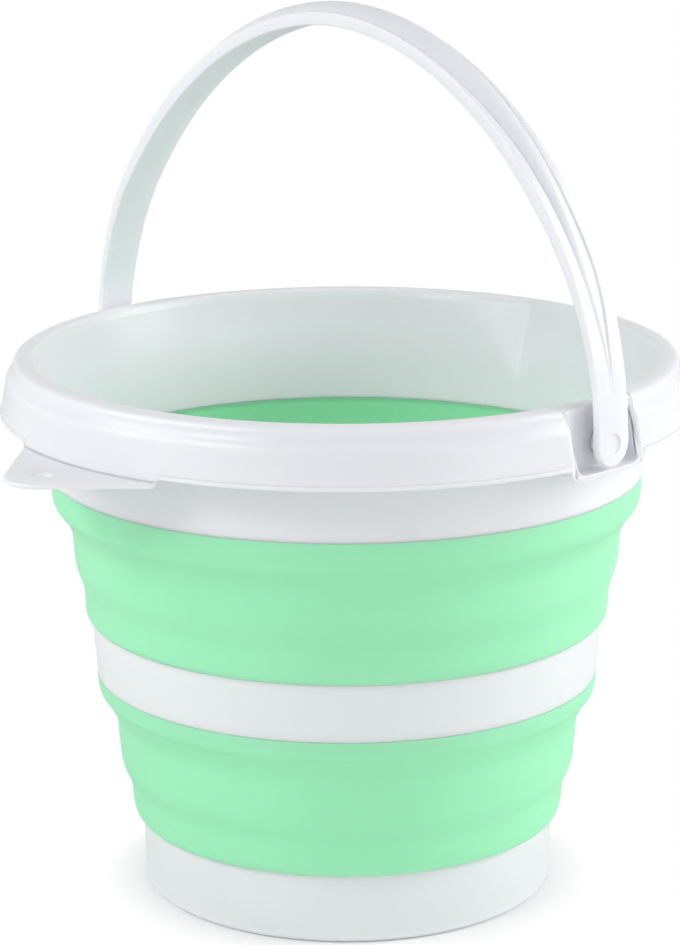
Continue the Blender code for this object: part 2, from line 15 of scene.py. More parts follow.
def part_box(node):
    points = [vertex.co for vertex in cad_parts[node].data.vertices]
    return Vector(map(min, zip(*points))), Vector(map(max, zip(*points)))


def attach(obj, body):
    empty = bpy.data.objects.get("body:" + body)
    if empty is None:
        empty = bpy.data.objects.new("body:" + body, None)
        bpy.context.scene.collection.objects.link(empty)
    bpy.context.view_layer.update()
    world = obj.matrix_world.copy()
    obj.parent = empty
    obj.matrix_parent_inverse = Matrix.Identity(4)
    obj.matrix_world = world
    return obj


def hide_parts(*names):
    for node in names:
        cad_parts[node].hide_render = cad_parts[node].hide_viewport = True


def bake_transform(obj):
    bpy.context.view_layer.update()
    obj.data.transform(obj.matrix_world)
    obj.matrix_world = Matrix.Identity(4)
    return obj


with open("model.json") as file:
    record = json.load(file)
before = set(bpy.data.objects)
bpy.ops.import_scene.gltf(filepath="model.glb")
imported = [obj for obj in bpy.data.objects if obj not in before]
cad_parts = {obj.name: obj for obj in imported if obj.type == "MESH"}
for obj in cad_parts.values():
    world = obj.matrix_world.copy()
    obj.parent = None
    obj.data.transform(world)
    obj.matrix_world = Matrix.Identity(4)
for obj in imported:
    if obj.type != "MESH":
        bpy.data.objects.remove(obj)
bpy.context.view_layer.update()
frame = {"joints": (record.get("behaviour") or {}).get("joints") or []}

# Places read from the frame: the heights where hard rings and soft bands meet, and their radii
SEAT_GAP = 0.0003
BASE_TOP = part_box("lower_band_heel")[0][2] - SEAT_GAP
RING_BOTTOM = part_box("lower_band_shoulder")[1][2] + SEAT_GAP
RING_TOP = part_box("upper_band_heel")[0][2] - SEAT_GAP
COLLAR_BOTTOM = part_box("upper_band_shoulder")[1][2] + SEAT_GAP
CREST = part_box("rim")[1][2]
BASE_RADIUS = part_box("base_cup")[1][0]
RING_BOTTOM_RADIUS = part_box("lower_band_shoulder")[1][0]
RING_TOP_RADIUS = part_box("middle_ring")[1][0]
COLLAR_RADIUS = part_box("upper_band_shoulder")[1][0]
SKIRT_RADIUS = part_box("rim")[1][1]
CUP_TONGUE_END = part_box("base_cup")[1][2]
RING_TONGUE_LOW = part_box("middle_ring")[0][2]
RING_TONGUE_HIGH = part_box("middle_ring")[1][2]
PIVOT_HEIGHT = next(joint for joint in frame["joints"] if joint["name"] == "handle_swing")["pos_m"][2]

# Fineness of the meshes. Edges past the sharp angles, in degrees, stay crisp.
TURN_COLUMNS = 240
HOLE_COLUMNS = 48
STUD_COLUMNS = 64
WELD = 0.000002
ROUND_STEPS = 4
TURNED_SHARP = 50.0
RING_SHARP = 25.0
SHELL_SHARP = 40.0

# Base cup
CUP_WALL = 0.0022
CUP_FLOOR = 0.0026
FOOT_ROUND = 0.0036
FOOT_INSET = 0.0006
CUP_INSIDE_ROUND = 0.0030
CUP_INSIDE_STEPS = 6
FOOT_STEPS = 8

# Middle ring
RING_WALL = 0.0022
RING_EDGE = 0.0004
RING_LINE_HEIGHT = 0.0027
RING_LINE_STEP = 0.00016
TONGUE_INSET = 0.0012
HIGH_TONGUE_INSET = 0.0016
HIGH_TONGUE_WALL = 0.0010

# Fold bands. Shares go up a band, then out from the ring below it to the ring above it.
BAND_WALL = 0.0020
LOWER_LINE_SHARES = ((0.0, 0.03), (0.012, 0.12), (0.035, 0.185), (0.07, 0.22), (0.15, 0.255),
                     (0.225, 0.283), (0.281, 0.340), (0.337, 0.429), (0.392, 0.486), (0.46, 0.512),
                     (0.56, 0.545), (0.665, 0.574), (0.726, 0.627), (0.782, 0.722), (0.837, 0.830),
                     (0.885, 0.945), (0.93, 0.985), (1.0, 1.0))
UPPER_LINE_SHARES = ((0.0, 0.03), (0.012, 0.09), (0.035, 0.145), (0.07, 0.165), (0.15, 0.175),
                     (0.224, 0.207), (0.280, 0.272), (0.337, 0.348), (0.393, 0.402), (0.46, 0.427),
                     (0.562, 0.457), (0.618, 0.489), (0.675, 0.576), (0.731, 0.701), (0.787, 0.870),
                     (0.83, 0.948), (0.88, 0.975), (1.0, 1.0))
BAND_ROWS = 72
HEEL_LIP = 0.0012
TONGUE_EDGE = 0.0005
TONGUE_END = 0.0004
WRAP_WALL = 0.0006
WRAP_RISE = 0.0006

# Rim moulding
COLLAR_WALL = 0.0022
MOUTH_FLARE = 0.0089
LIP_ROUND = 0.0021
ROLL_WALL = 0.0024
ROLL_WIDTH = 0.0111
SKIRT_DEPTH = 0.0270
SKIRT_WALL = 0.0022
SKIRT_BEAD = 0.0003
SKIRT_CREASE = 0.00015
# From the crest down the outer side: share of the depth, and share of the way out. The roll's side falls
# to a rounded shoulder, and the skirt stands out below it.
SIDE_SHARES = ((0.0, 0.0), (0.011, 0.18), (0.041, 0.324), (0.093, 0.405), (0.185, 0.468), (0.256, 0.550),
               (0.315, 0.658), (0.389, 0.739), (0.481, 0.775), (0.685, 0.865), (1.0, 1.0))
SIDE_ROWS = 160
# From the collar's lower edge up its inner side: share of the height, and share of the flare
MOUTH_SHARES = ((0.0, 0.0), (0.25, 0.11), (0.46, 0.25), (0.64, 0.46), (0.80, 0.70), (0.90, 0.86),
                (1.0, 1.0))
# Away from the pockets, the points that form a pocket's cut lie in a narrow stretch at the roll's start
UNCUT_INSET = 0.0004
UNCUT_WIDTH = 0.0006
LIP_STEPS = 6
TOP_STEPS = 6
UNCUT_STEPS = 20
FACE_STEPS = 34
EDGE_ROUND_STEPS = 5
TAB_TOP_STEPS = 7
TAB_BACK_STEPS = 8
BACK_STEPS = 24
COLLAR_ROWS = 16
INSIDE_ROWS = 46
PLAIN_TURN = math.radians(2.5)

# Handle pockets in the rim
POCKET_WIDTH = 0.0426
POCKET_DEPTH = 0.0090
POCKET_FLOOR_DEPTH = 0.0300
POCKET_FLOOR = 0.0025
POCKET_SIDE = 0.0037
POCKET_PLATE = 0.0020
POCKET_ROUND = 0.0050
POCKET_CORNER = 0.0068
POCKET_EDGE = 0.0010
POCKET_EDGE_ROUND = 0.0009
POCKET_SIDE_ROUND = 0.0030
POCKET_BLEND_START = 0.0040
POCKET_BLEND_END = 0.0120
POCKET_WALL_STEPS = 4
POCKET_CLEAR_TURN = math.radians(1.0)
# Shares of a pocket's half width, and turns along its rounds, at which the rim has a column
POCKET_FLOOR_SHARES = (0.0, 0.2, 0.4, 0.6)
POCKET_ROUND_TURNS = [math.radians(15.0 * i) for i in range(6)]
POCKET_SIDE_TURNS = [math.radians(10.0 * i) for i in range(1, 10)]
POCKET_CORNER_TURNS = [math.radians(8.0 * i) for i in range(4, 12)]

# Pouring spout
SPOUT_AZIMUTH = math.radians(96.0)
SPOUT_WIDTH = 0.0650
SPOUT_REACH = 0.0055
SPOUT_DEPTH = 0.0385
SPOUT_TOP_DEPTH = 0.0020
SPOUT_WALL = 0.0022
SPOUT_SOFTNESS = 0.0005
SPOUT_VALLEY_SHARE = 0.003
SPOUT_SLIT = 0.0001
SPOUT_LIMIT = math.radians(17.0)
SPOUT_TURN = math.radians(0.32)
SPOUT_COLUMNS = 48

# Hanging tab
TAB_AZIMUTH = math.radians(-93.0)
TAB_WIDTH = 0.0934
TAB_REACH = 0.0366
TAB_TIP_RADIUS = 0.0170
TAB_THICKNESS = 0.0024
TAB_DROP = 0.0017
TAB_STEP = 0.0016
TAB_ROOT_ROUND = 0.0012
TAB_HOLE_RADIUS = 0.0045
TAB_HOLE_EASE = 0.0006
TAB_HOLE_STEPS = 3
TAB_TURN = math.radians(0.5)
TAB_COLUMNS = 31
TAB_ROOT_TURN = math.radians(0.11)
TAB_ROOT_COLUMNS = 5

# Bail handle
HANDLE_WIDTH = 0.0224
HANDLE_LEG_WIDTH = 0.0200
HANDLE_SIDE = 0.0062
HANDLE_CROWN = 0.0040
HANDLE_GROOVE_WIDTH = 0.0011
HANDLE_GROOVE_DEPTH = 0.0011
HANDLE_GROOVE_FLOOR_SHARE = 0.9
HANDLE_CROWN_POWER = 0.75
HANDLE_CROWN_POINTS = 13
HANDLE_EDGE = 0.0010
HANDLE_INNER_EDGE = 0.0008
HANDLE_TAPER_SHARE = 0.45
HANDLE_ARCH_POWER = 1.94
HANDLE_STATIONS = 200
HANDLE_NUDGE = math.radians(0.045)
# Up a leg and over the arch: share of the height, side thickness, crown, half the crown's width, and
# the depth of the grooves at its sides
HANDLE_SHARES = ((0.00, 0.62, 0.0, 0.04, 0.0), (0.13, 0.55, 0.0, 0.05, 0.0),
                 (0.17, 0.57, 0.0, 0.08, 0.6), (0.24, 0.61, 0.0, 0.15, 1.0),
                 (0.34, 0.68, 0.0, 0.31, 1.0), (0.42, 0.76, 0.05, 0.38, 1.0),
                 (0.58, 0.92, 0.45, 0.42, 1.0), (0.71, 0.98, 0.70, 0.50, 1.0),
                 (0.82, 1.0, 0.88, 0.64, 1.0), (0.94, 1.0, 1.0, 0.80, 1.0), (1.00, 1.0, 1.0, 0.84, 1.0))
EAR_RADIUS = 0.0104
EAR_STATIONS = 14
EAR_TURN = math.radians(88.0)
EAR_PROUD = 0.0002
DIMPLE_RADIUS = 0.0046
DIMPLE_DEPTH = 0.0008
DIMPLE_EASE = 0.00128
DIMPLE_STEPS = 5
BOSS_RADIUS = 0.0055
STUD_RADIUS = 0.0030
STUD_END = 0.0020
STUD_CHAMFER = 0.0006

# Finishes. Grain is a scale and a depth. Inner light is the share of light that goes in, and how far.
PLASTIC_WHITE = (0.86, 0.864, 0.90, 1.0)
PLASTIC_SHADE = (0.83, 0.836, 0.88, 1.0)
PLASTIC_GLOSS = 0.30
PLASTIC_GRAIN = (900.0, 0.00004)
PLASTIC_INNER_LIGHT = (0.8, 0.004)
RUBBER_MINT = (0.375, 0.90, 0.545, 1.0)
RUBBER_SHADE = (0.345, 0.865, 0.51, 1.0)
RUBBER_GLOSS = 0.52
RUBBER_GRAIN = (1400.0, 0.00006)
RUBBER_INNER_LIGHT = (0.3, 0.002)
GLOSS_SPREAD = 0.10
CLOUD_SCALE = 14.0
CLOUD_DETAIL = 3.0
SMEAR_SCALE = 60.0
SMEAR_DETAIL = 4.0
GRAIN_DETAIL = 2.0
GRAIN_STRENGTH = 0.35
NOISE_MIDDLE = 0.5
REFRACTION = 1.49

# Camera, as in the photograph
CAMERA_AZIMUTH = math.radians(44.0)
CAMERA_DISTANCE = 1.5765
CAMERA_HEIGHT = 0.6065
CAMERA_PITCH = math.radians(14.415)
CAMERA_YAW = math.radians(0.11)
CAMERA_ROLL = math.radians(-0.213)
CAMERA_LENS = 129.4
SENSOR_WIDTH = 36.0
VIEW_START = 0.05
VIEW_END = 50.0

# Studio. A lamp's row: name, distance to the right of the view, towards the camera and up, size, watts.
LAMP_AIM = (0.0, 0.0, 0.2)
LAMPS = (("left_softbox", -1.34, 0.40, 1.10, (0.9, 0.9), 8.7),
         ("right_softbox", 1.49, 0.0, 0.90, (0.9, 0.9), 13.8),
         ("front_softbox", -0.75, 0.80, 0.94, (0.26, 0.26), 2.3),
         ("low_softbox", 1.2, 1.2, 0.30, (0.8, 0.5), 1.6))
FLOOR_RADIUS = 4.0
FLOOR_COLUMNS = 96
FLOOR_ROUGHNESS = 0.9
FLOOR_FADE = 0.022
FLOOR_CLEAR = 0.012
FLOOR_WHITE = (0.93, 0.93, 0.935, 1.0)
HORIZON_LEVEL = 0.75
ZENITH_LEVEL = 0.30

# Values worked out from those above
SKIRT_BOTTOM = CREST - SKIRT_DEPTH
ROLL_START = SKIRT_RADIUS - SKIRT_BEAD - ROLL_WIDTH
UNCUT_EDGE = ROLL_START + UNCUT_INSET
MOUTH_RADIUS = COLLAR_RADIUS - COLLAR_WALL + MOUTH_FLARE
POCKET_HALF = POCKET_WIDTH / 2
BOX_HALF = POCKET_HALF + POCKET_SIDE
POCKET_WALL = SKIRT_RADIUS - POCKET_DEPTH
POCKET_FLOOR_TOP = CREST - POCKET_FLOOR_DEPTH
POCKET_BOTTOM = POCKET_FLOOR_TOP - POCKET_FLOOR
HANDLE_HALF_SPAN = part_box("handle")[1][0] - EAR_PROUD
HANDLE_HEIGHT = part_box("handle")[1][2] - PIVOT_HEIGHT


# Lines and numbers

def arc(centre, radii, start, end, steps=ROUND_STEPS):
    """Points on an ellipse's arc, from the angle start to the angle end, in degrees."""
    angles = [math.radians(start + (end - start) * i / steps) for i in range(steps + 1)]
    return [(centre[0] + radii[0] * math.cos(a), centre[1] + radii[1] * math.sin(a)) for a in angles]


def ease(low, high, value):
    """0 up to low, 1 from high, and a smooth step between them."""
    share = min(1.0, max(0.0, (value - low) / (high - low)))
    return share * share * (3.0 - 2.0 * share)


def mix(first, second, share):
    """A point a share of the way from the first point to the second."""
    return tuple(a + (b - a) * share for a, b in zip(first, second))


def soft_max(first, second, softness):
    """The larger number, with a smooth change from one to the other."""
    return (first + second + math.sqrt((first - second) ** 2 + softness ** 2)) / 2


def read_smooth(table, share):
    """The row of shares at a share of the way along a table, on a smooth curve through its rows."""
    last = len(table) - 1
    low = next((i for i in range(last) if share <= table[i + 1][0]), last - 1)
    before, start, end, after = (table[min(last, max(0, low + i))] for i in (-1, 0, 1, 2))
    span = end[0] - start[0]
    part = min(1.0, max(0.0, (share - start[0]) / span))
    row = []
    for column in range(1, len(start)):
        rise = end[column] - start[column]
        slope_in = rise if before is start else (end[column] - before[column]) * span / (end[0] - before[0])
        slope_out = rise if after is end else (after[column] - start[column]) * span / (after[0] - start[0])
        square = part * part
        cube = square * part
        row.append(start[column] * (2 * cube - 3 * square + 1) + slope_in * (cube - 2 * square + part)
                   + end[column] * (3 * square - 2 * cube) + slope_out * (cube - square))
    return row


def corner(before, at, after, size, steps=ROUND_STEPS):
    """A rounded corner: points from one side of it to the other, never past half of either side."""
    place, back, forward = Vector(at), Vector(before) - Vector(at), Vector(after) - Vector(at)
    start = place + back.normalized() * min(size, back.length / 2)
    end = place + forward.normalized() * min(size, forward.length / 2)
    points = []
    for i in range(steps + 1):
        share = i / steps
        points.append(tuple(start * (1 - share) ** 2 + place * 2 * share * (1 - share) + end * share ** 2))
    return points


def straight(start, end, steps):
    """The points inside a straight stretch, without its ends."""
    return [mix(start, end, i / steps) for i in range(1, steps)]


def spread(line, steps):
    """The same line with its points at even distances, steps + 1 of them."""
    lengths = [math.dist(a, b) for a, b in zip(line, line[1:])]
    total = sum(lengths)
    points = [line[0]]
    index, passed = 0, 0.0
    for i in range(1, steps):
        target = total * i / steps
        while index < len(lengths) - 1 and passed + lengths[index] < target:
            passed += lengths[index]
            index += 1
        points.append(mix(line[index], line[index + 1], (target - passed) / max(lengths[index], WELD)))
    return points + [line[-1]]


# Building meshes

def add_node(tree, kind, **values):
    """A new node of a kind, with its settings."""
    node = tree.nodes.new(kind)
    for name, value in values.items():
        setattr(node, name, value)
    return node


def add_sockets(tree, side, kind, *names):
    """New inputs or outputs of a kind on a node group."""
    for name in names:
        tree.interface.new_socket(name, in_out=side, socket_type="NodeSocket" + kind)


def fill(node, **values):
    """Sets a node's inputs by their names, with _ for a space."""
    for name, value in values.items():
        node.inputs[name.replace("_", " ")].default_value = value


def wire(tree, *links):
    """Links nodes. A link is a node and its output, then a node and its input."""
    for start, leaving, end, entering in links:
        tree.links.new(start.outputs[leaving], end.inputs[entering])


def turning_tree():
    """Geometry Nodes that turn a line of points, radius along X and height along Z, round the Z axis."""
    tree = bpy.data.node_groups.new("turn_line_round_axis", "GeometryNodeTree")
    add_sockets(tree, "INPUT", "Geometry", "Line")
    add_sockets(tree, "INPUT", "Int", "Columns")
    add_sockets(tree, "INPUT", "Float", "Weld Distance")
    add_sockets(tree, "INPUT", "Material", "Finish")
    add_sockets(tree, "OUTPUT", "Geometry", "Shell")
    given = add_node(tree, "NodeGroupInput")
    result = add_node(tree, "NodeGroupOutput")
    size = add_node(tree, "GeometryNodeAttributeDomainSize", component="MESH")
    seam = add_node(tree, "ShaderNodeMath", operation="ADD")
    seam.inputs[1].default_value = 1.0
    grid = add_node(tree, "GeometryNodeMeshGrid")
    index = add_node(tree, "GeometryNodeInputIndex")
    row = add_node(tree, "ShaderNodeMath", operation="MODULO")
    column = add_node(tree, "ShaderNodeMath", operation="DIVIDE")
    whole = add_node(tree, "ShaderNodeMath", operation="FLOOR")
    turn = add_node(tree, "ShaderNodeMath", operation="DIVIDE")
    angle = add_node(tree, "ShaderNodeMath", operation="MULTIPLY")
    angle.inputs[1].default_value = math.tau
    place = add_node(tree, "GeometryNodeInputPosition")
    sample = add_node(tree, "GeometryNodeSampleIndex", data_type="FLOAT_VECTOR")
    parts = add_node(tree, "ShaderNodeSeparateXYZ")
    cosine = add_node(tree, "ShaderNodeMath", operation="COSINE")
    sine = add_node(tree, "ShaderNodeMath", operation="SINE")
    along_x = add_node(tree, "ShaderNodeMath", operation="MULTIPLY")
    along_y = add_node(tree, "ShaderNodeMath", operation="MULTIPLY")
    join = add_node(tree, "ShaderNodeCombineXYZ")
    move = add_node(tree, "GeometryNodeSetPosition")
    weld = add_node(tree, "GeometryNodeMergeByDistance")
    real = add_node(tree, "GeometryNodeRealizeInstances")
    paint = add_node(tree, "GeometryNodeSetMaterial")
    wire(tree,
         (given, "Line", size, "Geometry"),
         (given, "Columns", seam, 0),
         (seam, 0, grid, "Vertices X"),
         (size, "Point Count", grid, "Vertices Y"),
         (index, 0, row, 0),
         (size, "Point Count", row, 1),
         (index, 0, column, 0),
         (size, "Point Count", column, 1),
         (column, 0, whole, 0),
         (whole, 0, turn, 0),
         (given, "Columns", turn, 1),
         (turn, 0, angle, 0),
         (given, "Line", sample, "Geometry"),
         (place, 0, sample, "Value"),
         (row, 0, sample, "Index"),
         (sample, "Value", parts, 0),
         (angle, 0, cosine, 0),
         (angle, 0, sine, 0),
         (parts, "X", along_x, 0),
         (cosine, 0, along_x, 1),
         (parts, "X", along_y, 0),
         (sine, 0, along_y, 1),
         (along_x, 0, join, "X"),
         (along_y, 0, join, "Y"),
         (parts, "Z", join, "Z"),
         (grid, "Mesh", move, "Geometry"),
         (join, 0, move, "Position"),
         (move, 0, weld, "Geometry"),
         (given, "Weld Distance", weld, "Distance"),
         (weld, 0, real, 0),
         (real, 0, paint, "Geometry"),
         (given, "Finish", paint, "Material"),
         (paint, 0, result, "Shell"))
    return tree


def set_inputs(modifier, **values):
    """Sets a Geometry Nodes modifier's inputs by the names of their sockets, with _ for a space."""
    for item in modifier.node_group.interface.items_tree:
        name = item.name.replace(" ", "_")
        if item.item_type == "SOCKET" and item.in_out == "INPUT" and name in values:
            modifier[item.identifier] = values[name]


def add_object(name, data):
    """A new object at the origin with a mesh, a camera or a lamp."""
    thing = bpy.data.objects.new(name, data)
    bpy.context.scene.collection.objects.link(thing)
    return thing


def made_plain(thing, name):
    """The object's evaluated shape as a plain mesh object of its own. The first object is removed."""
    mesh = bpy.data.meshes.new_from_object(thing.evaluated_get(bpy.context.evaluated_depsgraph_get()))
    bpy.data.objects.remove(thing)
    mesh.name = name
    return add_object(name, mesh)


def tidy_shell(thing, sharp):
    """Turns a closed shell's faces outward and shades it smooth, but for edges past an angle in degrees."""
    shape = bmesh.new()
    shape.from_mesh(thing.data)
    bmesh.ops.recalc_face_normals(shape, faces=shape.faces)
    shape.to_mesh(thing.data)
    shape.free()
    thing.data.shade_smooth()
    thing.data.set_sharp_from_angle(angle=math.radians(sharp))
    return thing


def turned(name, line, finish, sharp=TURNED_SHARP, columns=TURN_COLUMNS):
    """A closed shell turned from a line. A line that starts and ends off the axis closes on itself."""
    points = list(line)
    if points[0][0] > WELD:
        points.append(points[0])
    mesh = bpy.data.meshes.new(name)
    mesh.from_pydata([(radius, 0.0, height) for radius, height in points], [], [])
    thing = add_object(name, mesh)
    step = thing.modifiers.new("turn", "NODES")
    step.node_group = TURNING_TREE
    set_inputs(step, Columns=columns, Weld_Distance=WELD, Finish=finish)
    return tidy_shell(made_plain(thing, name), sharp)


def cut_with(thing, cutters, name):
    """Cuts the cutters out of a shell. They are removed."""
    for cutter in cutters:
        step = thing.modifiers.new("cut", "BOOLEAN")
        step.operation = "DIFFERENCE"
        step.solver = "EXACT"
        step.object = cutter
    result = made_plain(thing, name)
    for cutter in cutters:
        bpy.data.objects.remove(cutter)
    return result


def laid(thing, matrix):
    """Applies a place to the mesh itself, so that the object stays at the origin."""
    thing.data.transform(matrix)
    return thing


# Finishes

def moulded_group():
    """A shader group that all finishes share: uneven colour, uneven gloss and the mould's fine grain."""
    tree = bpy.data.node_groups.new("moulded_surface", "ShaderNodeTree")
    add_sockets(tree, "INPUT", "Color", "Colour", "Shade")
    add_sockets(tree, "INPUT", "Float", "Gloss", "Gloss Spread", "Grain Scale")
    add_sockets(tree, "OUTPUT", "Color", "Colour")
    add_sockets(tree, "OUTPUT", "Float", "Roughness", "Height")
    given = add_node(tree, "NodeGroupInput")
    result = add_node(tree, "NodeGroupOutput")
    place = add_node(tree, "ShaderNodeTexCoord")
    clouds = add_node(tree, "ShaderNodeTexNoise")
    fill(clouds, Scale=CLOUD_SCALE, Detail=CLOUD_DETAIL)
    smears = add_node(tree, "ShaderNodeTexNoise")
    fill(smears, Scale=SMEAR_SCALE, Detail=SMEAR_DETAIL)
    grain = add_node(tree, "ShaderNodeTexNoise")
    fill(grain, Detail=GRAIN_DETAIL)
    tint = add_node(tree, "ShaderNodeMix", data_type="RGBA")
    centred = add_node(tree, "ShaderNodeMath", operation="SUBTRACT")
    centred.inputs[1].default_value = NOISE_MIDDLE
    gloss = add_node(tree, "ShaderNodeMath", operation="MULTIPLY_ADD")
    wire(tree,
         (place, "Object", clouds, "Vector"),
         (place, "Object", smears, "Vector"),
         (place, "Object", grain, "Vector"),
         (given, "Grain Scale", grain, "Scale"),
         (clouds, "Fac", tint, "Factor"),
         (given, "Colour", tint, "A"),
         (given, "Shade", tint, "B"),
         (smears, "Fac", centred, 0),
         (centred, 0, gloss, 0),
         (given, "Gloss Spread", gloss, 1),
         (given, "Gloss", gloss, 2),
         (tint, "Result", result, "Colour"),
         (gloss, 0, result, "Roughness"),
         (grain, "Fac", result, "Height"))
    return tree


def moulded_finish(name, colour, shade, gloss, grain, inner_light):
    """A moulded plastic or rubber, which lets some light into its wall."""
    material = bpy.data.materials.new(name)
    material.use_nodes = True
    tree = material.node_tree
    shader = tree.nodes["Principled BSDF"]
    surface = add_node(tree, "ShaderNodeGroup", node_tree=MOULDED_GROUP)
    fill(surface, Colour=colour, Shade=shade, Gloss=gloss, Gloss_Spread=GLOSS_SPREAD,
         Grain_Scale=grain[0])
    bump = add_node(tree, "ShaderNodeBump")
    fill(bump, Distance=grain[1], Strength=GRAIN_STRENGTH)
    wire(tree,
         (surface, "Colour", shader, "Base Color"),
         (surface, "Roughness", shader, "Roughness"),
         (surface, "Height", bump, "Height"),
         (bump, "Normal", shader, "Normal"))
    fill(shader, IOR=REFRACTION, Subsurface_Weight=inner_light[0], Subsurface_Scale=inner_light[1],
         Subsurface_Radius=(1.0, 1.0, 1.0))
    return material


# Hard rings

def base_cup(finish):
    """The cup that the bucket stands on, with the tongue that the lower band grips."""
    inside = BASE_RADIUS - CUP_WALL
    foot = BASE_RADIUS - FOOT_INSET
    line = [(0.0, CUP_FLOOR)]
    line += arc((inside - CUP_INSIDE_ROUND, CUP_FLOOR + CUP_INSIDE_ROUND), (CUP_INSIDE_ROUND,) * 2,
                -90, 0, CUP_INSIDE_STEPS)
    line += [(inside, CUP_TONGUE_END), (BASE_RADIUS, CUP_TONGUE_END), (BASE_RADIUS, BASE_TOP)]
    line += arc((foot - FOOT_ROUND, FOOT_ROUND), (FOOT_ROUND,) * 2, 0, -90, FOOT_STEPS)
    line.append((0.0, 0.0))
    return turned("cup", line, finish)


def middle_ring(finish):
    """The ring between the bands, with a fine moulded line near its lower edge."""
    low_inside = RING_BOTTOM_RADIUS - RING_WALL
    high_tongue = RING_TOP_RADIUS - HIGH_TONGUE_INSET
    high_inside = high_tongue - HIGH_TONGUE_WALL
    low_tongue = RING_BOTTOM_RADIUS - TONGUE_INSET
    slope = (RING_TOP_RADIUS - RING_BOTTOM_RADIUS) / (RING_TOP - RING_BOTTOM)
    line_height = RING_BOTTOM + RING_LINE_HEIGHT
    line_radius = RING_BOTTOM_RADIUS + slope * RING_LINE_HEIGHT
    line = [(high_inside, RING_TONGUE_HIGH), (high_tongue, RING_TONGUE_HIGH), (high_tongue, RING_TOP)]
    line += [(RING_TOP_RADIUS - RING_EDGE, RING_TOP), (RING_TOP_RADIUS, RING_TOP - RING_EDGE)]
    line += [(line_radius, line_height), (line_radius - RING_LINE_STEP, line_height - RING_LINE_STEP)]
    line += [(RING_BOTTOM_RADIUS - RING_LINE_STEP, RING_BOTTOM + RING_EDGE)]
    line += [(RING_BOTTOM_RADIUS - RING_EDGE, RING_BOTTOM), (low_tongue, RING_BOTTOM)]
    line += [(low_tongue, RING_TONGUE_LOW), (low_inside, RING_TONGUE_LOW), (low_inside, RING_BOTTOM)]
    line.append((high_inside, RING_TOP))
    return turned("ring", line, finish, sharp=RING_SHARP)


# Fold bands

def fold_band(name, shares, low, high, low_radius, high_radius, below, above, finish):
    """A rubber band in one piece, which grips the tongue below it and laps the tongue above it.

    below is that tongue's radius, its wall and the height of its end. above is the other tongue's
    radius, the height of its end, and how far up the rubber goes on its inner side.
    """
    tongue, tongue_wall, tongue_end = below
    upper_tongue, upper_end, inner_top = above
    height = high - low
    outside = []
    for row in range(BAND_ROWS + 1):
        share = row / BAND_ROWS
        out, = read_smooth(shares, share)
        outside.append((low_radius + (high_radius - low_radius) * out, low + height * share))
    grip = tongue + SEAT_GAP
    lip_low = tongue_end + SEAT_GAP
    lip_high = lip_low + HEEL_LIP
    lap = upper_tongue + SEAT_GAP
    ledge = upper_end - SEAT_GAP
    wrap = upper_tongue - TONGUE_EDGE - SEAT_GAP
    inside = [(radius - BAND_WALL, at) for radius, at in outside if lip_high < at < ledge]
    line = list(outside)
    line += [(lap, high), (lap, ledge)]
    if inner_top > ledge:
        line += [(wrap, ledge), (wrap, inner_top), (wrap - WRAP_WALL, inner_top)]
    line += list(reversed(inside))
    lip_inside = tongue - tongue_wall
    line += [(lip_inside, lip_high), (lip_inside, lip_low), (grip, lip_low), (grip, low)]
    return turned(name, line, finish)


# Rim moulding

def mouth_inside(height):
    """Radius of the collar's inner face at a height."""
    share = max(0.0, (height - COLLAR_BOTTOM) / (CREST - COLLAR_BOTTOM))
    flare, = read_smooth(MOUTH_SHARES, share)
    return COLLAR_RADIUS - COLLAR_WALL + MOUTH_FLARE * flare


def side_radius(height):
    """Radius of the rim's outer side at a height, from the crest down to the skirt's lower edge."""
    out, = read_smooth(SIDE_SHARES, min(1.0, max(0.0, (CREST - height) / SKIRT_DEPTH)))
    return ROLL_START + ROLL_WIDTH * out


def top_height(radius):
    """Height of the rim's outer side at a radius."""
    if radius <= ROLL_START:
        return CREST
    after = next(i for i, point in enumerate(SIDE_LINE) if point[0] >= radius or i == SIDE_ROWS)
    before, here = SIDE_LINE[after - 1], SIDE_LINE[after]
    return mix(before, here, (radius - before[0]) / (here[0] - before[0]))[1]


# The outer side as a line of points from the crest down, closer together near the crest
SIDE_LINE = [(side_radius(height), height) for height in
             (CREST - SKIRT_DEPTH * (i / SIDE_ROWS) ** 2 for i in range(SIDE_ROWS + 1))]


def pocket_cut(offset):
    """Height down to which a pocket opens the outer side, at a distance from the pocket's middle."""
    if offset < POCKET_HALF:
        side = max(0.0, offset - (POCKET_HALF - POCKET_ROUND))
        return POCKET_FLOOR_TOP + POCKET_ROUND - math.sqrt(POCKET_ROUND ** 2 - side ** 2)
    reach = POCKET_HALF + POCKET_CORNER - offset
    if reach <= 0.0:
        return CREST
    return CREST - POCKET_CORNER + math.sqrt(max(0.0, POCKET_CORNER ** 2 - reach ** 2))


def side_inset(offset):
    """How far the rim's outer side rounds in beside a pocket's upright edge."""
    past = POCKET_HALF + POCKET_SIDE_ROUND - offset
    if not 0.0 < past <= POCKET_SIDE_ROUND:
        return 0.0
    return POCKET_SIDE_ROUND - math.sqrt(POCKET_SIDE_ROUND ** 2 - past ** 2)


